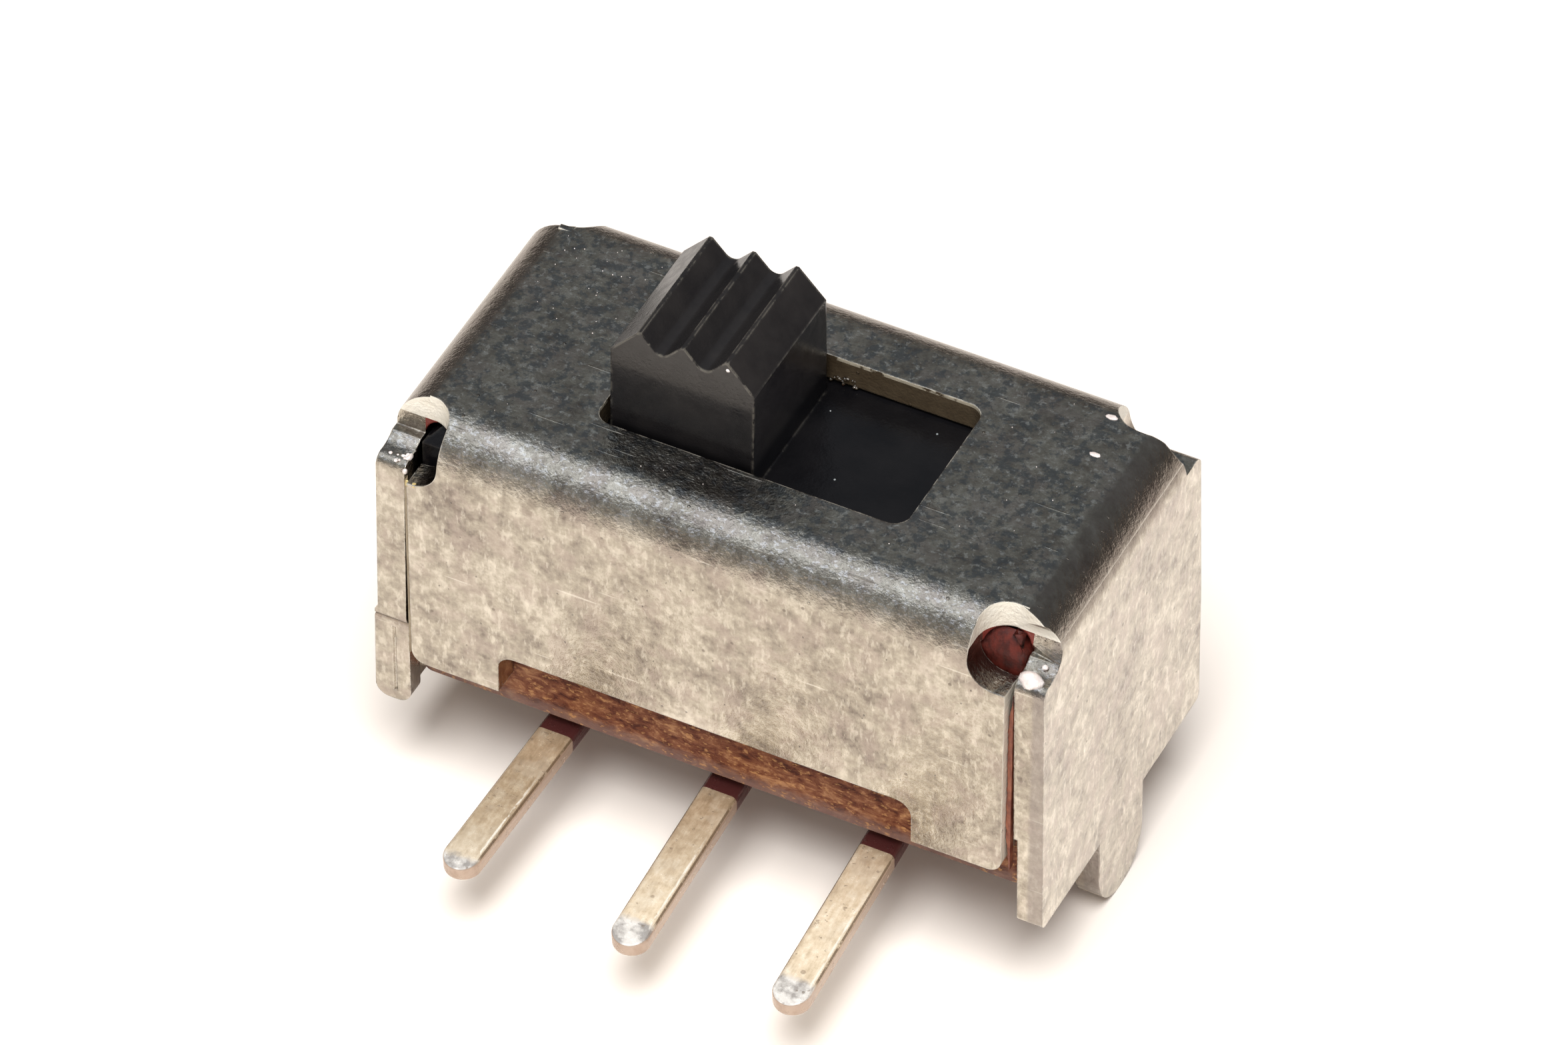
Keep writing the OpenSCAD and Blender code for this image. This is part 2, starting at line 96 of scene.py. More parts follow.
def make_sun(name, from_front, from_right, width, strength, colour):
    light = bpy.data.lights.new(name, "SUN")
    light.energy, light.angle = strength, math.radians(width)
    light.color = colour
    lamp = bpy.data.objects.new(name, light)
    scene.collection.objects.link(lamp)
    to_light = Vector((math.tan(math.radians(from_right)), -math.tan(math.radians(from_front)), 1))
    lamp.rotation_mode = "QUATERNION"
    lamp.rotation_quaternion = to_light.to_track_quat("Z", "Y")
    return lamp


def make_light():
    # The two soft lamps light dull surfaces only, and the third one makes glints only
    key = make_sun("key", *KEY)
    front = make_sun("front", *FRONT)
    glint = make_sun("glint", *GLINT)
    key.visible_glossy = front.visible_glossy = False
    glint.visible_diffuse = False

    world = bpy.data.worlds.new("studio")
    scene.world = world
    world.use_nodes = True
    tree = world.node_tree
    background = tree.nodes["Background"]
    direction = tree.nodes.new("ShaderNodeTexCoord").outputs["Generated"]
    split = tree.nodes.new("ShaderNodeSeparateXYZ")
    tree.links.new(direction, split.inputs[0])

    def fade(value, start, end):
        node = tree.nodes.new("ShaderNodeMapRange")
        node.interpolation_type = "SMOOTHSTEP"
        node.inputs["From Min"].default_value, node.inputs["From Max"].default_value = start, end
        tree.links.new(value, node.inputs["Value"])
        return node.outputs[0]

    def mix(share, first, second):
        node = tree.nodes.new("ShaderNodeMix")
        node.data_type = "RGBA"
        tree.links.new(share, node.inputs[0])
        for socket, value in ((node.inputs[6], first), (node.inputs[7], second)):
            if isinstance(value, tuple):
                socket.default_value = (*value, 1)
            else:
                tree.links.new(value, socket)
        return node.outputs[2]

    horizon = mix(fade(split.outputs["Y"], -0.35, 0.35), HORIZON_FRONT, HORIZON_BACK)
    room = mix(fade(split.outputs["Z"], 0.30, 0.55), horizon, ROOM_DARK)
    aim = tree.nodes.new("ShaderNodeVectorMath")
    aim.operation = "DOT_PRODUCT"
    tree.links.new(direction, aim.inputs[0])
    aim.inputs[1].default_value = Vector(TO_WINDOW).normalized()
    rim, core = (math.cos(math.radians(v)) for v in (WINDOW_HALF + WINDOW_SOFT, WINDOW_HALF))
    mirrored = mix(fade(aim.outputs["Value"], rim, core), room, WINDOW_GLOW)
    path = tree.nodes.new("ShaderNodeLightPath")
    tree.links.new(mix(path.outputs["Is Glossy Ray"], FILL, mirrored), background.inputs[0])
    scene.view_settings.view_transform = "Standard"
    scene.view_settings.look = "None"


# ---- Building materials from nodes ----

class Paint:
    """A material's node tree, with short ways to add the nodes that these looks need."""

    def __init__(self, name):
        self.material = bpy.data.materials.new(name)
        self.material.use_nodes = True
        self.tree = self.material.node_tree
        self.shader = self.tree.nodes["Principled BSDF"]
        where = self.tree.nodes.new("ShaderNodeTexCoord")
        scale = self.tree.nodes.new("ShaderNodeVectorMath")
        scale.operation = "SCALE"
        scale.inputs["Scale"].default_value = 1 / MM
        self.tree.links.new(where.outputs["Object"], scale.inputs[0])
        self.place = scale.outputs[0]      # millimetres in the part's frame at rest
        self.normal = self.tree.nodes.new("ShaderNodeNewGeometry").outputs["Normal"]

    def feed(self, socket, value):
        if isinstance(value, bpy.types.NodeSocket):
            self.tree.links.new(value, socket)
        elif value is not None:
            socket.default_value = value

    def math(self, operation, a, b=None):
        node = self.tree.nodes.new("ShaderNodeMath")
        node.operation = operation
        for socket, value in zip(node.inputs, (a, b)):
            self.feed(socket, value)
        return node.outputs[0]

    def chain(self, operation, first, *others):
        for other in others:
            first = self.math(operation, first, other)
        return first

    def times(self, *values):
        return self.chain("MULTIPLY", *values)

    def plus(self, *values):
        return self.chain("ADD", *values)

    def most(self, *values):
        return self.chain("MAXIMUM", *values)

    def blend(self, *terms):
        """Sum of (value, share) pairs."""
        return self.plus(*(self.times(value, share) for value, share in terms))

    def above(self, value, limit):
        return self.math("GREATER_THAN", value, limit)

    def below(self, value, limit):
        return self.math("LESS_THAN", value, limit)

    def unsigned(self, value):
        return self.math("ABSOLUTE", value)

    def rest_of(self, share):
        return self.math("SUBTRACT", 1.0, share)

    def split(self, vector):
        node = self.tree.nodes.new("ShaderNodeSeparateXYZ")
        self.feed(node.inputs[0], vector)
        return node.outputs

    def mapped(self, scale=(1, 1, 1), turn=(0, 0, 0), shift=(0, 0, 0)):
        """The place, scaled, turned by degrees and shifted, for a texture to use."""
        node = self.tree.nodes.new("ShaderNodeMapping")
        self.feed(node.inputs["Vector"], self.place)
        node.inputs["Location"].default_value = shift
        node.inputs["Rotation"].default_value = [math.radians(v) for v in turn]
        node.inputs["Scale"].default_value = scale
        return node.outputs[0]

    def noise(self, scale, detail=4, rough=0.55, vector=None, twist=0.0):
        node = self.tree.nodes.new("ShaderNodeTexNoise")
        self.feed(node.inputs["Vector"], vector or self.place)
        for name, value in (("Scale", scale), ("Detail", detail), ("Roughness", rough), ("Distortion", twist)):
            node.inputs[name].default_value = value
        return node.outputs[0]

    def cells(self, scale, vector):
        node = self.tree.nodes.new("ShaderNodeTexVoronoi")
        self.feed(node.inputs["Vector"], vector)
        node.inputs["Scale"].default_value = scale
        return node.outputs

    def fade(self, value, start, end, low=0.0, high=1.0):
        """Smooth step from low at start to high at end."""
        node = self.tree.nodes.new("ShaderNodeMapRange")
        node.clamp = True
        node.interpolation_type = "SMOOTHSTEP"
        for name, given in (("Value", value), ("From Min", start), ("From Max", end),
                            ("To Min", low), ("To Max", high)):
            self.feed(node.inputs[name], given)
        return node.outputs[0]

    def ramp(self, value, *stops):
        node = self.tree.nodes.new("ShaderNodeValToRGB")
        self.feed(node.inputs[0], value)
        elements = node.color_ramp.elements
        while len(elements) < len(stops):
            elements.new(0.5)
        for element, (place, shade) in zip(elements, stops):
            element.position, element.color = place, (*shade, 1)
        return node.outputs[0]

    def mix(self, share, a, b, kind="MIX"):
        node = self.tree.nodes.new("ShaderNodeMix")
        node.data_type, node.blend_type = "RGBA", kind
        self.feed(node.inputs[0], share)
        for socket, value in ((node.inputs[6], a), (node.inputs[7], b)):
            self.feed(socket, (*value, 1) if isinstance(value, tuple) else value)
        return node.outputs[2]

    def tint(self, colour, other, *shares):
        """The colour mixed towards another one by the product of the shares."""
        return self.mix(self.times(*shares), colour, other)

    def bump(self, height, depth, under=None, strength=1.0):
        node = self.tree.nodes.new("ShaderNodeBump")
        node.inputs["Strength"].default_value = strength
        node.inputs["Distance"].default_value = depth * MM
        self.feed(node.inputs["Height"], height)
        self.feed(node.inputs["Normal"], under)
        return node.outputs[0]

    def round_edges(self, radius):
        node = self.tree.nodes.new("ShaderNodeBevel")
        node.samples = 6
        node.inputs["Radius"].default_value = radius * MM
        return node.outputs[0]

    def worn_edges(self, radius):
        """Up to 1 along sharp edges, broken up by noise, and 0 elsewhere."""
        node = self.tree.nodes.new("ShaderNodeVectorMath")
        node.operation = "DOT_PRODUCT"
        self.feed(node.inputs[0], self.round_edges(radius))
        self.feed(node.inputs[1], self.normal)
        broken = self.fade(self.noise(5, 4, 0.65), 0.40, 0.56)
        return self.times(self.fade(node.outputs["Value"], 0.97, 0.86), broken)

    def streaks(self, turn, length, width, share, shift):
        """Short straight scratches along one direction: up to 1 on a scratch, 0 elsewhere."""
        cells = self.cells(1.0, self.mapped((1 / length, 1 / width, 1 / width), turn, shift))
        some = self.above(self.split(cells["Color"])[0], 1 - share)
        return self.times(some, self.fade(cells["Distance"], 0.10, 0.17, 1, 0))

    def dots(self, spacing, size, share, shift):
        """Small round spots: 1 on a spot, 0 elsewhere."""
        cells = self.cells(1 / spacing, self.mapped(shift=shift))
        some = self.above(self.split(cells["Color"])[1], 1 - share)
        return self.times(some, self.fade(cells["Distance"], 0.6 * size / spacing, size / spacing, 1, 0))

    def finish(self, **sockets):
        for name, value in sockets.items():
            self.feed(self.shader.inputs[name.replace("_", " ")], value)
        return self.material


# ---- Materials of the CAD pieces ----

# Places on the cover, as half-lengths, half-depths and depths below the top face
INNER_X, INNER_Y, INNER_Z = 4.795, 2.26, 0.465      # the inner faces lie inside the first two, below the third
CUT_ABOVE = 0.47      # the cut faces of the slot and of the relief holes lie above this
CUT_BEYOND = 3.85      # those of the relief holes lie further out than this
SLOT_X, SLOT_Y = 3.5, 1.8      # the slot's cut faces lie inside these
WALL_END_FROM, WALL_END_TO = 4.55, 4.76      # the long walls' upright end faces lie between these
LEDGE_BELOW = 3.0      # the walls' level lower edges lie below this
LIP = 0.06      # height of the bright upper lip of the slot's cut faces
END_SHADE_FROM, END_SHADE_TO = 5.05, 5.13      # painted shade on the right end wall's front edge fades in over this

PIN_SHADE_FROM = -2.32      # the pins are painted dark maroon behind this as painted shade under the board, and left bare in front of it


def tin_plate():
    p = Paint("tin_plate")
    nx, ny, nz = p.split(p.normal)
    endwise, level = p.unsigned(nx), p.unsigned(nz)      # how far a face looks to an end, and lies level
    along = p.split(p.place)[0]
    x, y, z = (p.unsigned(v) for v in p.split(p.place))
    blotch = p.noise(0.9, 5, 0.6, twist=0.4)
    mottle = p.noise(4.2, 5, 0.62)
    flecks = p.noise(10, 4, 0.62)
    grain = p.noise(23, 3, 0.6)
    streak = p.noise(1.0, 4, 0.6, p.mapped((15, 15, 2.6)))
    up = p.fade(nz, 0.35, 0.85)
    down = p.rest_of(up)

    # Plate all over
    colour = p.ramp(p.blend((blotch, 0.32), (mottle, 0.38), (flecks, 0.20), (streak, 0.10)),
                    (0.39, (0.235, 0.20, 0.17)), (0.46, (0.365, 0.325, 0.27)),
                    (0.52, (0.47, 0.425, 0.35)), (0.60, (0.66, 0.61, 0.52)))
    pink = p.fade(p.noise(1.9, 4, 0.6, p.mapped(shift=(3, 8, 2))), 0.48, 0.60)
    colour = p.tint(colour, (0.46, 0.385, 0.34), pink, 0.40)
    stain = p.fade(p.noise(3.4, 5, 0.65, p.mapped(shift=(9, 4, 7))), 0.57, 0.68)
    colour = p.tint(colour, (0.27, 0.225, 0.185), stain, 0.45)
    pale = p.fade(p.noise(9, 4, 0.6, p.mapped((1.2, 1.2, 0.45), shift=(2, 5, 1))), 0.54, 0.68)
    colour = p.tint(colour, (0.86, 0.81, 0.70), pale, down, 0.34)

    # Flat top
    flat = p.fade(nz, 0.94, 0.99)
    bluish = p.fade(p.noise(5.5, 5, 0.66, p.mapped(shift=(6, 3, 1))), 0.47, 0.60)
    colour = p.tint(colour, (0.17, 0.185, 0.195), bluish, flat, 0.70)
    lighter = p.fade(p.noise(8, 5, 0.66, p.mapped(shift=(1, 6, 8))), 0.54, 0.66)
    colour = p.tint(colour, (0.86, 0.82, 0.74), lighter, flat, 0.65)

    # Specks, scratches and worn edges
    specks = p.most(p.dots(0.55, 0.035, 0.35, (1, 7, 3)), p.dots(0.9, 0.07, 0.20, (4, 2, 8)))
    colour = p.tint(colour, (0.15, 0.12, 0.10), specks, 0.6)
    hairs = p.most(p.streaks((0, 0, -18), 2.2, 0.10, 0.20, (0.3, 2.2, 0)),
                   p.streaks((0, 0, -34), 1.6, 0.08, 0.14, (5.1, 1.7, 3)),
                   p.streaks((0, 0, 40), 1.8, 0.09, 0.08, (2.6, 7.4, 6)))
    marks = p.times(hairs, up)
    wall_hairs = p.most(p.streaks((0, 82, 0), 1.8, 0.10, 0.16, (1.6, 3.4, 5)),
                        p.streaks((0, 66, 0), 2.4, 0.13, 0.14, (3.2, 1.4, 2)))
    colour = p.tint(colour, (0.88, 0.84, 0.75), down, wall_hairs, 0.45)
    worn = p.worn_edges(0.035)
    colour = p.tint(colour, (0.90, 0.86, 0.76), worn, 0.6)

    # Painted light and shade: a dark maroon inside, lighter end walls, darker far folds, a speckled front fold
    # and a darker right front edge
    shaded_inside = p.times(p.below(x, INNER_X), p.below(y, INNER_Y), p.above(z, INNER_Z))
    # painted shade: the faces inside the cover are painted dark maroon
    colour = p.mix(shaded_inside, colour, (0.19, 0.036, 0.027))
    # painted light: faces that look to the ends are painted lighter
    colour = p.mix(p.fade(endwise, 0.6, 0.9), colour, (1.13, 1.14, 1.17), "MULTIPLY")
    fold = p.times(p.fade(nz, 0.30, 0.60), p.fade(nz, 0.995, 0.95))
    # painted shade: the folds that face the ends and the back are painted darker
    shaded_far_fold = p.times(p.most(p.fade(endwise, 0.12, 0.35), p.fade(ny, 0.12, 0.35)), p.fade(nz, 0.10, 0.35))
    colour = p.tint(colour, (0.19, 0.155, 0.135), shaded_far_fold, 0.62)
    # painted highlight: bright speckle on the fold that faces the front
    painted_sparkle = p.fade(p.noise(17, 3, 0.55, p.mapped((0.7, 1, 1), shift=(7, 1, 4))), 0.53, 0.63)
    facing = p.fade(ny, -0.05, -0.30)
    colour = p.tint(colour, (0.95, 0.93, 0.93), painted_sparkle, fold, facing, 0.34)
    # painted shade: a darker band along the right end wall's front edge
    shaded_end_edge = p.times(p.fade(along, END_SHADE_FROM, END_SHADE_TO), p.fade(ny, -0.5, -0.8))
    colour = p.tint(colour, (0.30, 0.265, 0.25), shaded_end_edge, 0.6)

    # Cut faces: relief holes, slot, the long walls' ends and the lower edges
    cut = p.times(p.fade(level, 0.45, 0.30), p.below(z, CUT_ABOVE), p.above(x, CUT_BEYOND), p.rest_of(shaded_inside))
    colour = p.mix(cut, colour, p.mix(mottle, (0.78, 0.72, 0.60), (1.0, 0.98, 0.90)))
    slot = p.times(p.below(level, 0.45), p.below(z, CUT_ABOVE), p.below(x, SLOT_X), p.below(y, SLOT_Y))
    # painted shade: the slot's cut faces are painted dark brown
    colour = p.mix(slot, colour, p.mix(mottle, (0.06, 0.041, 0.024), (0.125, 0.095, 0.060)))
    wall_end = p.times(p.fade(endwise, 0.6, 0.8), p.above(y, INNER_Y),
                       p.above(x, WALL_END_FROM), p.below(x, WALL_END_TO))
    colour = p.mix(wall_end, colour, p.mix(mottle, (0.66, 0.60, 0.49), (0.96, 0.92, 0.82)))
    ledge = p.times(p.above(z, LEDGE_BELOW), p.fade(level, 0.35, 0.6))
    colour = p.tint(colour, (0.30, 0.235, 0.175), ledge, 0.8)
    lip = p.times(p.below(z, LIP), p.fade(mottle, 0.40, 0.50))
    colour = p.tint(colour, (0.62, 0.56, 0.44), slot, lip, 0.8)
    dull = p.most(shaded_inside, p.times(cut, 0.85), p.times(worn, 0.6), p.times(slot, 0.8),
                  p.times(wall_end, 0.9), ledge)

    rough = p.plus(p.blend((mottle, 0.16), (blotch, 0.10), (marks, 0.15)), 0.07)
    glints = p.times(p.dots(0.15, 0.027, 0.04, (2, 9, 4)), p.most(facing, p.rest_of(fold)))
    relief = p.round_edges(0.035)
    for height, depth in ((mottle, 0.014), (flecks, 0.010), (grain, 0.008), (marks, 0.004), (glints, 0.022)):
        relief = p.bump(height, depth, relief)
    return p.finish(Base_Color=colour, Metallic=p.rest_of(dull), Roughness=rough, Normal=relief)


def phenolic():
    p = Paint("phenolic")
    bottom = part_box("terminal_board")[0][2] / MM
    height = p.split(p.place)[2]
    fibre = p.noise(1.0, 6, 0.72, p.mapped((3.2, 6, 6.5)), twist=0.5)
    fleck = p.noise(1.0, 4, 0.6, p.mapped((9, 16, 17), (0, 24, 0)))
    grain = p.noise(14, 3, 0.6)
    blotch = p.noise(1.3, 4, 0.6)
    body = p.ramp(fibre, (0.37, (0.060, 0.013, 0.006)), (0.45, (0.145, 0.041, 0.018)),
                  (0.55, (0.235, 0.086, 0.037)), (0.66, (0.42, 0.205, 0.092)))
    dark = p.ramp(fibre, (0.38, (0.036, 0.006, 0.004)), (0.52, (0.095, 0.018, 0.008)),
                  (0.66, (0.24, 0.070, 0.024)))
    # painted shadow: the upper part of the board, under the front wall, is painted darker
    shadowed_top = p.fade(p.plus(height, p.times(blotch, 0.6)), bottom + 1.02, bottom + 1.20)
    colour = p.mix(shadowed_top, body, dark)
    lower = p.fade(p.plus(height, p.times(fleck, 0.3)), bottom + 0.46, bottom + 0.18)
    colour = p.tint(colour, (0.19, 0.125, 0.11), lower, 0.7)
    gold = p.fade(fleck, 0.57, 0.67)
    colour = p.tint(colour, (0.62, 0.33, 0.13), gold, 0.55)
    spark = p.dots(0.22, 0.032, 0.14, (3, 1, 6))
    colour = p.tint(colour, (0.85, 0.68, 0.48), spark, 0.7)
    relief = p.bump(p.blend((fibre, 0.7), (grain, 0.3)), 0.03, strength=0.8)
    rough = p.fade(fibre, 0.3, 0.7, 0.72, 0.52)
    return p.finish(Base_Color=colour, Roughness=rough, Normal=relief, Specular_IOR_Level=0.25)


def tinned_brass():
    p = Paint("tinned_brass")
    side, reach, _ = p.split(p.place)
    nx, _, nz = p.split(p.normal)
    along = p.noise(1.0, 5, 0.65, p.mapped((14, 3.0, 14)))
    mottle = p.noise(6, 5, 0.65)
    patch = p.fade(p.noise(1.8, 4, 0.6, p.mapped(shift=(4, 6, 2))), 0.46, 0.60)
    spots = p.most(p.fade(p.noise(11, 3, 0.5), 0.66, 0.72), p.dots(0.4, 0.05, 0.3, (2, 2, 5)))
    tone = p.blend((along, 0.45), (mottle, 0.55))
    # painted shade: the pins are darker near the board and lighter on the free legs
    near = p.ramp(tone, (0.36, (0.31, 0.225, 0.14)), (0.5, (0.42, 0.32, 0.21)), (0.64, (0.55, 0.45, 0.32)))
    far = p.ramp(tone, (0.36, (0.64, 0.52, 0.37)), (0.5, (0.84, 0.71, 0.53)), (0.64, (0.98, 0.89, 0.73)))
    colour = p.mix(p.fade(p.plus(reach, p.times(side, -0.35)), -2.5, -5.0), near, far)
    colour = p.tint(colour, (0.62, 0.57, 0.48), patch, 0.22)
    # painted highlight: silver and white on the tips
    highlit_tip = p.fade(p.plus(reach, p.times(mottle, 0.2)), -4.80, -4.95)
    tip_highlight = p.ramp(p.noise(3.6, 4, 0.6), (0.42, (0.36, 0.35, 0.35)), (0.57, (0.92, 0.90, 0.87)))
    colour = p.tint(colour, tip_highlight, highlit_tip, 0.85)
    colour = p.tint(colour, (0.24, 0.18, 0.13), spots, 0.5)

    # Painted highlight on the right shoulder, brown cut edges with a dark rim of painted shade, and painted
    # shade on the root
    shoulder_highlight = p.times(p.fade(nx, 0.06, 0.22), p.fade(nx, 0.60, 0.42), p.fade(reach, -3.0, -3.9),
                    p.fade(along, 0.38, 0.52))
    colour = p.tint(colour, (1.0, 0.97, 0.89), shoulder_highlight, 0.75)
    edge_face = p.fade(p.unsigned(nz), 0.60, 0.30)
    colour = p.tint(colour, (0.43, 0.30, 0.215), edge_face, 0.85)
    # painted shade: a dark line along the rounded edges between top and sides
    rim = p.times(p.fade(nz, 0.80, 0.70), p.fade(nz, 0.35, 0.48), p.fade(mottle, 0.34, 0.46))
    colour = p.tint(colour, (0.15, 0.095, 0.055), rim, p.fade(reach, -5.0, -4.85, 0.25, 0.85))
    # painted shade: the roots under the board are painted dark maroon
    shaded_root = p.above(reach, PIN_SHADE_FROM)
    colour = p.mix(shaded_root, colour, (0.068, 0.0185, 0.018))
    metallic = p.times(p.rest_of(shaded_root), p.fade(highlit_tip, 0, 1, 0.30, 0.40))
    rough = p.plus(p.times(mottle, 0.25), 0.12)
    relief = p.bump(p.blend((along, 0.5), (mottle, 0.5), (spots, 0.3)), 0.016, p.round_edges(0.06))
    return p.finish(Base_Color=colour, Metallic=metallic, Roughness=rough, Normal=relief)


def black_plastic():
    p = Paint("black_plastic")
    height = p.split(p.place)[2]
    nx, ny, _ = p.split(p.normal)
    cloud = p.noise(1.2, 4, 0.6)
    grain = p.noise(20, 4, 0.55)
    pits = p.noise(5, 4, 0.6)
    colour = p.ramp(cloud, (0.3, (0.010, 0.0095, 0.0105)), (0.7, (0.021, 0.0192, 0.0192)))
    # painted shade: darker low down, where the slider lies in the slot under the cover
    colour = p.mix(p.fade(height, 0.05, -0.20), colour, (0.35, 0.36, 0.40), "MULTIPLY")
    # painted light: faces that look to the right are painted lighter
    colour = p.mix(p.fade(nx, 0.7, 0.95), colour, (1.9, 2.0, 2.1), "MULTIPLY")
    # painted highlight: a lighter band along the upper front of the knob
    front_band_highlight = p.times(p.fade(p.plus(height, p.times(pits, 0.1)), 0.95, 1.12), p.fade(ny, -0.5, -0.8))
    colour = p.tint(colour, (0.047, 0.043, 0.040), front_band_highlight, 0.8)
    dust = p.most(p.dots(0.35, 0.022, 0.10, (5, 3, 1)), p.dots(0.8, 0.035, 0.10, (1, 2, 9)))
    colour = p.tint(colour, (0.40, 0.40, 0.36), dust, 0.5)
    colour = p.tint(colour, (0.21, 0.195, 0.165), p.worn_edges(0.08), p.fade(height, -0.30, 0.15, 0.15, 0.65))
    rough = p.fade(pits, 0.35, 0.65, 0.15, 0.27)
    relief = p.bump(p.blend((grain, 0.5), (pits, 0.5)), 0.006, p.round_edges(0.05))
    return p.finish(Base_Color=colour, Roughness=rough, Normal=relief, Specular_IOR_Level=0.30)


def spring_bronze():
    p = Paint("spring_bronze")
    tone = p.noise(6, 4, 0.6)
    colour = p.ramp(tone, (0.3, (0.50, 0.28, 0.12)), (0.7, (0.78, 0.50, 0.26)))
    return p.finish(Base_Color=colour, Metallic=1.0, Roughness=p.fade(tone, 0.3, 0.7, 0.25, 0.4))


# ---- Materials of the small marks and the floor ----

# Bright lumps of painted highlight: the glints on the cover's corners and top and on the knob
def glint_paint():
    p = Paint("glint_paint")
    tone = p.noise(9, 4, 0.6)
    colour = p.ramp(tone, (0.35, (0.80, 0.70, 0.67)), (0.65, (0.98, 0.93, 0.92)))
    return p.finish(Base_Color=colour, Metallic=0.25, Roughness=p.fade(tone, 0.3, 0.7, 0.16, 0.30),
                    Normal=p.bump(p.noise(22, 3, 0.6), 0.012))


def golden_scale():
    p = Paint("golden_scale")
    tone = p.noise(14, 4, 0.6)
    colour = p.ramp(tone, (0.35, (0.40, 0.25, 0.06)), (0.65, (0.92, 0.80, 0.42)))
    return p.finish(Base_Color=colour, Metallic=0.3, Roughness=p.fade(tone, 0.3, 0.7, 0.2, 0.4),
                    Normal=p.bump(p.noise(26, 3, 0.6), 0.012))


def seam_shade_paint():
    """Painted shade of the inside seen through the seams and the right relief hole: brown on the right and
    maroon at its top there, and olive on the left.
    """
    p = Paint("seam_shade_paint")
    side, _, height = p.split(p.place)
    tone = p.noise(9, 4, 0.6, p.mapped((1, 1, 0.5)))
    olive = p.ramp(tone, (0.38, (0.34, 0.275, 0.18)), (0.62, (0.58, 0.51, 0.38)))
    brown = p.ramp(tone, (0.38, (0.15, 0.038, 0.024)), (0.62, (0.30, 0.105, 0.060)))
    maroon = p.ramp(tone, (0.38, (0.040, 0.008, 0.006)), (0.62, (0.095, 0.016, 0.011)))
    right = p.mix(p.fade(height, -1.42, -1.20), brown, maroon)
    colour = p.mix(p.fade(side, 0, -1), right, p.mix(0.55, olive, (0.16, 0.11, 0.06)))
    return p.finish(Base_Color=colour, Roughness=p.fade(tone, 0.3, 0.7, 0.35, 0.55),
                    Normal=p.bump(p.noise(22, 3, 0.6), 0.010))


def pale_dust():
    p = Paint("pale_dust")
    tone = p.noise(18, 4, 0.6)
    colour = p.ramp(tone, (0.35, (0.16, 0.18, 0.19)), (0.65, (0.42, 0.45, 0.46)))
    return p.finish(Base_Color=colour, Roughness=p.fade(tone, 0.3, 0.7, 0.6, 0.8))


def pale_floor():
    """Pale near the switch, and darker far from it."""
    p = Paint("pale_floor")
    colour = p.ramp(p.noise(0.02, 3, 0.5), (0.3, (0.90, 0.855, 0.81)), (0.7, (0.93, 0.885, 0.84)))
    x, y, _ = p.split(p.place)
    away = p.math("SQRT", p.plus(p.math("POWER", x, 2), p.math("POWER", y, 2)))
    colour = p.mix(p.fade(away, 10, 22), colour, (0.80, 0.765, 0.73))
    colour = p.mix(p.fade(away, 28, 90), colour, (0.42, 0.40, 0.39))
    return p.finish(Base_Color=colour, Roughness=0.9, Specular_IOR_Level=0.1)


# ---- Pieces ----

SHARP_FROM = 24      # degrees between two faces from which their edge is shaded sharp


def dress(node, material):
    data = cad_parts[node].data
    data.materials.clear()
    data.materials.append(material)
    data.shade_smooth()
    data.set_sharp_from_angle(angle=math.radians(SHARP_FROM))


def put(name, bm, body, material):
    """Makes a piece of the built mesh, and says which body it rides."""
    mesh = bpy.data.meshes.new(name)
    bmesh.ops.recalc_face_normals(bm, faces=bm.faces)
    bm.to_mesh(mesh)
    bm.free()
    mesh.materials.append(material)
    piece = bpy.data.objects.new(name, mesh)
    scene.collection.objects.link(piece)
    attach(piece, body)
    return piece


def crumbs(name, body, material, lumps):
    """Small rough lumps, each given by its middle and its three half-sizes."""
    draw = random.Random(name)
    bm = bmesh.new()
    for at, radii in lumps:
        turn = Matrix.Identity(3)
        if radii[0] == radii[1]:
            turn = Matrix.Rotation(draw.uniform(0, math.tau), 3, "Z")
        for v in bmesh.ops.create_icosphere(bm, subdivisions=2, radius=1)["verts"]:
            grown = v.co * draw.uniform(0.84, 1.10)
            v.co = turn @ Vector(mm(*(c * r for c, r in zip(grown, radii)))) + Vector(mm(*at))
    put(name, bm, body, material).data.shade_smooth()


def scatter(name, middle, spread, size, count):
    """Places and sizes of lumps that lie about a place."""
    draw = random.Random(name)
    out = []
    for _ in range(count):
        at = [m + draw.uniform(-s, s) for m, s in zip(middle, spread)]
        r = size * draw.uniform(0.5, 1.0)
        out.append((at, (r, r, 0.7 * r)))
    return out


# Threads in the upright seams at both ends of the front wall, painted as the shaded inside seen through them
SEAM_X, SEAM_Y = 4.803, -2.615
SEAM_TOP, SEAM_BOTTOM = -1.14, -4.60
SEAM_WIDTH, SEAM_STEPS = 0.112, 60
SEAM_SECTION = ((0, -0.01), (0.7, 0.005), (1, 0.045), (0, 0.10))      # share of the width, way behind SEAM_Y

# Dark film behind the right relief hole, a sheet of painted shade: its corners from above, its heights and its
# thickness
FILM_PATH = ((3.78, -2.222), (4.05, -2.222), (4.30, -2.222), (4.55, -2.222), (4.71, -2.218),
             (4.768, -2.195), (4.776, -2.10), (4.778, -1.95), (4.780, -1.80))
FILM_TOP, FILM_LEANS_FROM, FILM_BOTTOM = -0.505, -0.75, -1.30
FILM_THICK, FILM_ROWS = 0.018, 9


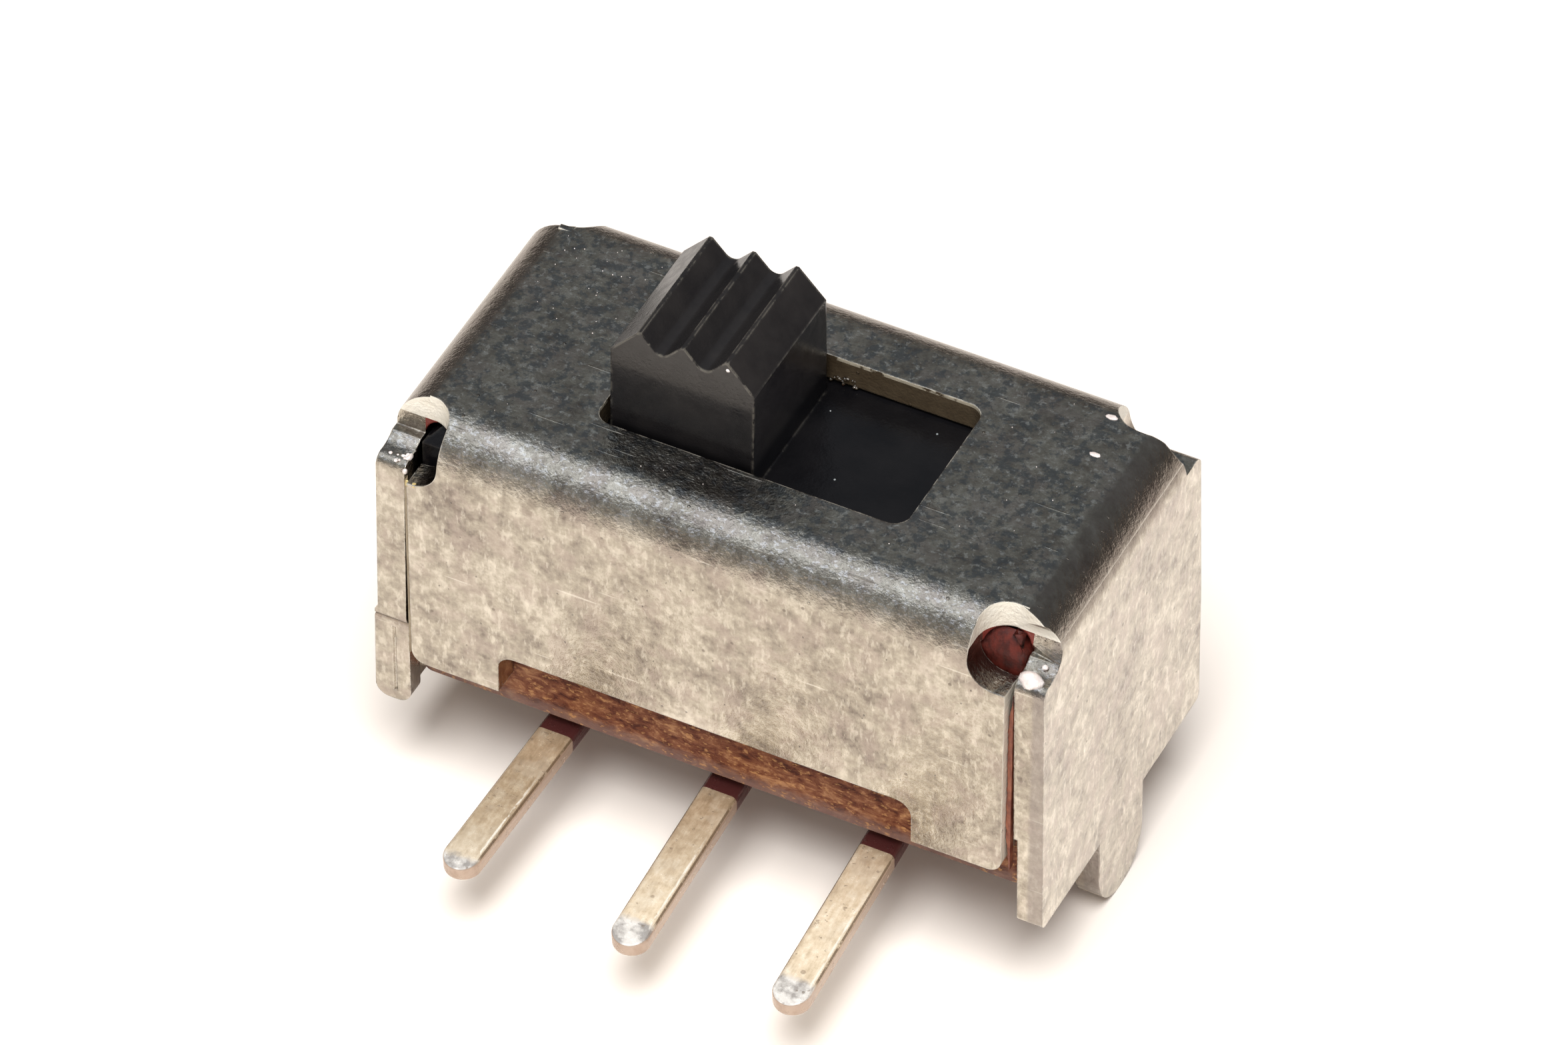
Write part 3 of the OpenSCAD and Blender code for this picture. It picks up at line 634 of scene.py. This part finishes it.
def shade_paint_seam(name, side, material):
    """Wavy thread of painted shade in the seam on one side: 1 is the right, -1 the left."""
    draw = random.Random(name)
    bm = bmesh.new()
    rings = []
    x = side * SEAM_X
    for i in range(SEAM_STEPS + 1):
        z = SEAM_TOP + (SEAM_BOTTOM - SEAM_TOP) * i / SEAM_STEPS
        tapered = min(1, 0.25 + 4 * i / SEAM_STEPS, 0.25 + 4 * (SEAM_STEPS - i) / SEAM_STEPS)
        w = SEAM_WIDTH * draw.uniform(0.75, 1.0) * tapered
        rings.append([bm.verts.new(mm(x - side * share * w, SEAM_Y + back, z)) for share, back in SEAM_SECTION])
    sides = len(SEAM_SECTION)
    for ring, following in zip(rings, rings[1:]):
        for k in range(sides):
            n = (k + 1) % sides
            bm.faces.new((ring[k], ring[n], following[n], following[k]))
    bm.faces.new(rings[0])
    bm.faces.new(rings[-1][::-1])
    put(name, bm, "switch_body", material)


def shade_paint_film(name, material):
    """Thin upright film of painted shade along FILM_PATH, which leans inward at 45 degrees above
    FILM_LEANS_FROM.
    """
    draw = random.Random(name)
    bm = bmesh.new()
    columns = []
    for i, (x, y) in enumerate(FILM_PATH):
        ahead, behind = FILM_PATH[min(i + 1, len(FILM_PATH) - 1)], FILM_PATH[max(i - 1, 0)]
        along = Vector((ahead[0] - behind[0], ahead[1] - behind[1], 0)).normalized()
        inward = Vector((-along.y, along.x, 0))
        column = []
        for k in range(FILM_ROWS + 1):
            z = FILM_TOP + (FILM_BOTTOM - FILM_TOP) * k / FILM_ROWS
            at = Vector((x, y, z)) + inward * max(0, z - FILM_LEANS_FROM)
            front = at - inward * draw.uniform(0, 0.4 * FILM_THICK)
            back = at + inward * 0.5 * FILM_THICK
            column.append((bm.verts.new(mm(*front)), bm.verts.new(mm(*back))))
        columns.append(column)
    for here, there in zip(columns, columns[1:]):
        for k in range(FILM_ROWS):
            bm.faces.new((here[k][0], there[k][0], there[k + 1][0], here[k + 1][0]))
            bm.faces.new((here[k + 1][1], there[k + 1][1], there[k][1], here[k][1]))
        for k in (0, FILM_ROWS):
            bm.faces.new((here[k][0], here[k][1], there[k][1], there[k][0]))
    for column in (columns[0], columns[-1]):
        for k in range(FILM_ROWS):
            bm.faces.new((column[k][0], column[k + 1][0], column[k + 1][1], column[k][1]))
    put(name, bm, "switch_body", material).data.shade_smooth()


def make_small_marks(metal):
    # painted highlight: the bright lumps below make glints on the corners, the top and the knob
    bright = glint_paint()
    crumbs("nub_front_right", "switch_body", bright,
           [((4.985, -2.45, -0.88), (0.20, 0.14, 0.15)), ((5.075, -2.20, -0.80), (0.05, 0.05, 0.04))])
    crumbs("shine_front_left", "switch_body", bright,
           scatter("left", (-4.97, -2.38, -0.885), (0.15, 0.17, 0.0), 0.036, 16)
           + [((-4.83, -2.40, -0.90), (0.045, 0.09, 0.05)), ((-4.80, -2.60, -0.99), (0.04, 0.04, 0.05))])
    crumbs("scale_front_left", "switch_body", golden_scale(),
           [((-4.70, -2.68, -1.13), (0.05, 0.05, 0.04)), ((-4.60, -2.69, -1.11), (0.06, 0.04, 0.05)),
            ((-4.77, -2.60, -1.20), (0.03, 0.03, 0.06))])
    crumbs("spots_on_top", "switch_body", bright,
           [((4.09, 1.99, 0), (0.10, 0.055, 0.016)), ((4.20, 1.20, 0), (0.09, 0.05, 0.016))])
    crumbs("specks_on_top", "switch_body", bright,
           [(at, (r[0], r[0], 0.008)) for at, r in scatter("top", (-3.6, 1.1, 0), (0.9, 0.9, 0), 0.011, 26)
            + scatter("top_right", (3.6, 0.4, 0), (0.9, 1.6, 0), 0.010, 9)
            + scatter("top_front", (-0.5, -1.75, 0), (3.6, 0.15, 0), 0.010, 7)])
    crumbs("glint_on_knob", "slider", bright,
           [((-0.413, -1.112, 1.611), (0.034, 0.022, 0.034))])
    crumbs("burr_in_slot", "switch_body", metal,
           scatter("slot", (0.20, 1.325, -0.40), (0.22, 0.012, 0.07), 0.034, 16))
    crumbs("dust_on_slider", "slider", pale_dust(),
           [((x, y, -0.507), (r, r, 0.6 * r)) for x, y, r in
            ((0.93, -0.44, 0.018), (1.813, 1.043, 0.018), (0.251, 0.784, 0.014))])
    # painted shade: seam threads and a film that stand for the shaded inside
    shade_paint = seam_shade_paint()
    shade_paint_seam("seam_right", 1, shade_paint)
    shade_paint_seam("seam_left", -1, shade_paint)
    shade_paint_film("film_right", shade_paint)


FLOOR_HALF = 3.0      # metres


def make_floor(level):
    mesh = bpy.data.meshes.new("floor")
    corners = ((-1, -1), (1, -1), (1, 1), (-1, 1))
    mesh.from_pydata([(x * FLOOR_HALF, y * FLOOR_HALF, level) for x, y in corners], [], [(0, 1, 2, 3)])
    floor = bpy.data.objects.new("floor", mesh)
    scene.collection.objects.link(floor)
    mesh.materials.append(pale_floor())


make_camera()
make_light()
metal = tin_plate()
pins = tinned_brass()
for node, material in (("cover", metal), ("terminal_board", phenolic()), ("slider", black_plastic()),
                       ("contact_clip", spring_bronze()), ("terminal_left", pins),
                       ("terminal_middle", pins), ("terminal_right", pins)):
    dress(node, material)
make_small_marks(metal)
make_floor(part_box("cover")[0][2])
